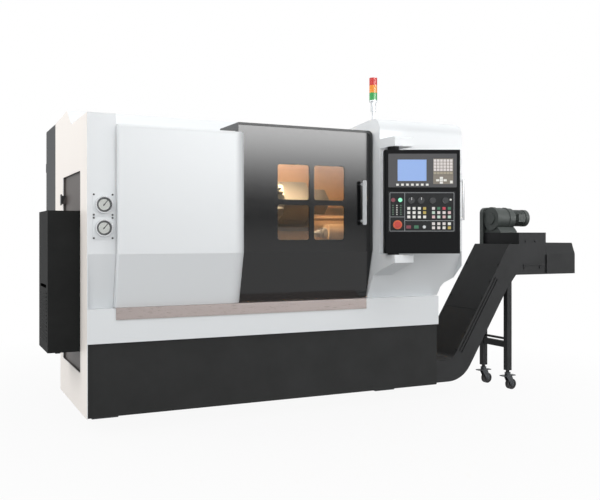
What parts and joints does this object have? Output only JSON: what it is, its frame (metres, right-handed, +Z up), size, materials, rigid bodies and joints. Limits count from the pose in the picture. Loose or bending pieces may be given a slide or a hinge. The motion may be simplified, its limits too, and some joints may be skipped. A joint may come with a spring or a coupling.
{
  "type": "cnc turning lathe",
  "caption": "Slant-bed turning centre with sliding windowed door, swivelling operator pendant, signal tower, rear electrical cabinet and an inclined chip conveyor on castered legs.",
  "frame": {"origin": "On the floor, at the centre of the rectangle of anchor holes in the levelling feet", "axes": "+X to the right along the front, toward the chip conveyor; +Y from the operator's side to the back; +Z up"},
  "size_m": [3.576, 1.9912, 2.039],
  "materials": {
    "white_coat": "semi-gloss powder coat",
    "cream_coat": "semi-gloss powder coat",
    "grey_coat": "semi-gloss powder coat",
    "apron_black": "satin powder coat",
    "access_brown": "satin powder coat",
    "guard_black": "satin powder coat",
    "cabinet_grey": "fine textured powder coat",
    "door_charcoal": "gloss coat",
    "conveyor_grey": "satin powder coat",
    "stand_grey": "satin powder coat",
    "stainless": "brushed stainless sheet",
    "galvanised": "plain steel sheet",
    "bright_steel": "ground steel",
    "belt_steel": "pressed steel",
    "chrome_plate": "polished plate",
    "castings": "machine enamel on castings",
    "slide_iron": "machined cast iron",
    "motor_enamel": "satin enamel",
    "feet_steel": "black oxide",
    "pane": "tinted polycarbonate",
    "pendant_black": "satin powder coat",
    "bezel_grey": "moulded",
    "screen_blue": "lit display",
    "panel_film": "membrane film",
    "stop_orange": "moulded",
    "knob_grey": "moulded",
    "lamp_lens_green": "clear tinted",
    "lamp_lens_amber": "clear tinted",
    "lamp_lens_red": "clear tinted",
    "lamp_diffuser": "opal",
    "mast_plastic": "moulded",
    "belt_rubber": "moulded",
    "wheel_rubber": "moulded",
    "caster_zinc": "zinc plated"
  },
  "bodies": {
    "machine": {"base_frame": "cream_coat", "levelling_feet": "feet_steel", "front_apron": "apron_black", "front_band": "white_coat", "door_sill": "stainless", "left_end_cover": "cream_coat", "side_access_panel": "access_brown", "belt_guard": "guard_black", "gauge_panel": "chrome_plate", "left_front_cover": "white_coat", "right_front_hood": "white_coat", "roof_cover": "white_coat", "rear_cover": "grey_coat", "inner_guards": "galvanised", "work_lamp": "lamp_diffuser", "electrical_cabinet": "cabinet_grey", "pendant_brackets": "white_coat", "signal_mast": "mast_plastic", "lamp_green": "lamp_lens_green", "lamp_amber": "lamp_lens_amber", "lamp_red": "lamp_lens_red", "slant_bed": "castings", "headstock": "castings", "spindle_motor": "motor_enamel", "drive_belt": "belt_rubber", "z_servo": "motor_enamel", "conveyor_trough": "conveyor_grey", "conveyor_covers": "conveyor_grey", "conveyor_belt": "belt_steel", "gearmotor": "motor_enamel", "conveyor_stand": "stand_grey"},
    "door": {"door_panel": "door_charcoal", "door_glass": "pane", "door_handle": "chrome_plate"},
    "cabinet_door": {"cabinet_door": "cabinet_grey"},
    "pendant": {"pendant_case": "pendant_black", "display_unit": "bezel_grey", "display_screen": "screen_blue", "operator_panel": "panel_film", "pendant_handle": "chrome_plate"},
    "emergency_stop": {"emergency_stop": "stop_orange"},
    "feed_knob": {"feed_knob": "knob_grey"},
    "spindle_knob": {"spindle_knob": "knob_grey"},
    "spindle": {"spindle": "bright_steel", "chuck_body": "bright_steel"},
    "jaw_1": {"jaw_1": "bright_steel"},
    "jaw_2": {"jaw_2": "bright_steel"},
    "jaw_3": {"jaw_3": "bright_steel"},
    "motor_pulley": {"motor_pulley": "slide_iron"},
    "saddle": {"saddle": "slide_iron"},
    "turret_slide": {"turret_slide": "slide_iron"},
    "turret_disc": {"turret_disc": "bright_steel"},
    "z_screw": {"z_screw": "bright_steel"},
    "tailstock": {"tailstock": "slide_iron"},
    "quill": {"quill": "bright_steel"},
    "conveyor_shaft": {"conveyor_shaft": "bright_steel"},
    "front_caster_fork": {"front_caster_fork": "caster_zinc"},
    "front_caster_wheel": {"front_caster_wheel": "wheel_rubber"},
    "rear_caster_fork": {"rear_caster_fork": "caster_zinc"},
    "rear_caster_wheel": {"rear_caster_wheel": "wheel_rubber"}
  },
  "joints": [
    {"name": "door_slide", "type": "slide", "parent": "machine", "child": "door", "axis": [-1, 0, 0], "range_m": [0, 0.67]},
    {"name": "cabinet_door_hinge", "type": "hinge", "parent": "machine", "child": "cabinet_door", "pos_m": [-1.099, 0.954, 0.988], "axis": [0, 0, 1], "range_deg": [0, 115]},
    {"name": "pendant_swivel", "type": "hinge", "parent": "machine", "child": "pendant", "pos_m": [0.639, -0.816, 1.238], "axis": [0, 0, 1], "range_deg": [-50, 25]},
    {"name": "emergency_stop_press", "type": "slide", "parent": "pendant", "child": "emergency_stop", "axis": [0.4305, 0.9026, 0], "range_m": [0, 0.006], "stiffness_N_per_m": 800},
    {"name": "feed_knob_turn", "type": "hinge", "parent": "pendant", "child": "feed_knob", "pos_m": [0.70773, -0.90418, 1.251], "axis": [0.4305, 0.9026, 0], "range_deg": [-135, 135]},
    {"name": "spindle_knob_turn", "type": "hinge", "parent": "pendant", "child": "spindle_knob", "pos_m": [0.75918, -0.92872, 1.251], "axis": [0.4305, 0.9026, 0], "range_deg": [-135, 135]},
    {"name": "spindle_spin", "type": "hinge", "parent": "machine", "child": "spindle", "pos_m": [-0.705, -0.22, 1.063], "axis": [1, 0, 0], "continuous": true},
    {"name": "motor_spin", "type": "hinge", "parent": "machine", "child": "motor_pulley", "pos_m": [-1.105, -0.22, 0.543], "axis": [1, 0, 0], "continuous": true},
    {"name": "jaw_1_slide", "type": "slide", "parent": "spindle", "child": "jaw_1", "axis": [0, 0, 1], "range_m": [-0.003, 0.003]},
    {"name": "jaw_2_slide", "type": "slide", "parent": "spindle", "child": "jaw_2", "axis": [0, -0.866, -0.5], "range_m": [-0.003, 0.003]},
    {"name": "jaw_3_slide", "type": "slide", "parent": "spindle", "child": "jaw_3", "axis": [0, 0.866, -0.5], "range_m": [-0.003, 0.003]},
    {"name": "saddle_slide", "type": "slide", "parent": "machine", "child": "saddle", "axis": [1, 0, 0], "range_m": [-0.34, 0.1]},
    {"name": "z_screw_turn", "type": "hinge", "parent": "machine", "child": "z_screw", "pos_m": [0.295, 0.14628, 1.05027], "axis": [1, 0, 0], "continuous": true},
    {"name": "cross_slide", "type": "slide", "parent": "saddle", "child": "turret_slide", "axis": [0, 0.7071, 0.7071], "range_m": [-0.105, 0.06]},
    {"name": "turret_index", "type": "hinge", "parent": "turret_slide", "child": "turret_disc", "pos_m": [0.195, -0.00787, 1.27513], "axis": [1, 0, 0], "continuous": true},
    {"name": "tailstock_slide", "type": "slide", "parent": "machine", "child": "tailstock", "axis": [1, 0, 0], "range_m": [0, 0.2]},
    {"name": "quill_slide", "type": "slide", "parent": "tailstock", "child": "quill", "axis": [-1, 0, 0], "range_m": [0, 0.05]},
    {"name": "conveyor_drive", "type": "hinge", "parent": "machine", "child": "conveyor_shaft", "pos_m": [1.91, -0.42, 0.923], "axis": [0, 1, 0], "continuous": true},
    {"name": "front_caster_swivel", "type": "hinge", "parent": "machine", "child": "front_caster_fork", "pos_m": [1.71, -0.571, 0.108], "axis": [0, 0, 1], "continuous": true},
    {"name": "front_caster_roll", "type": "hinge", "parent": "front_caster_fork", "child": "front_caster_wheel", "pos_m": [1.736, -0.571, 0.036], "axis": [0, 1, 0], "continuous": true},
    {"name": "rear_caster_swivel", "type": "hinge", "parent": "machine", "child": "rear_caster_fork", "pos_m": [1.71, -0.316, 0.108], "axis": [0, 0, 1], "continuous": true},
    {"name": "rear_caster_roll", "type": "hinge", "parent": "rear_caster_fork", "child": "rear_caster_wheel", "pos_m": [1.736, -0.316, 0.036], "axis": [0, 1, 0], "continuous": true}
  ],
  "couplings": [
    {"joint": "motor_spin", "follows": "spindle_spin", "ratio": 1},
    {"joint": "jaw_2_slide", "follows": "jaw_1_slide", "ratio": 1},
    {"joint": "jaw_3_slide", "follows": "jaw_1_slide", "ratio": 1}
  ]
}
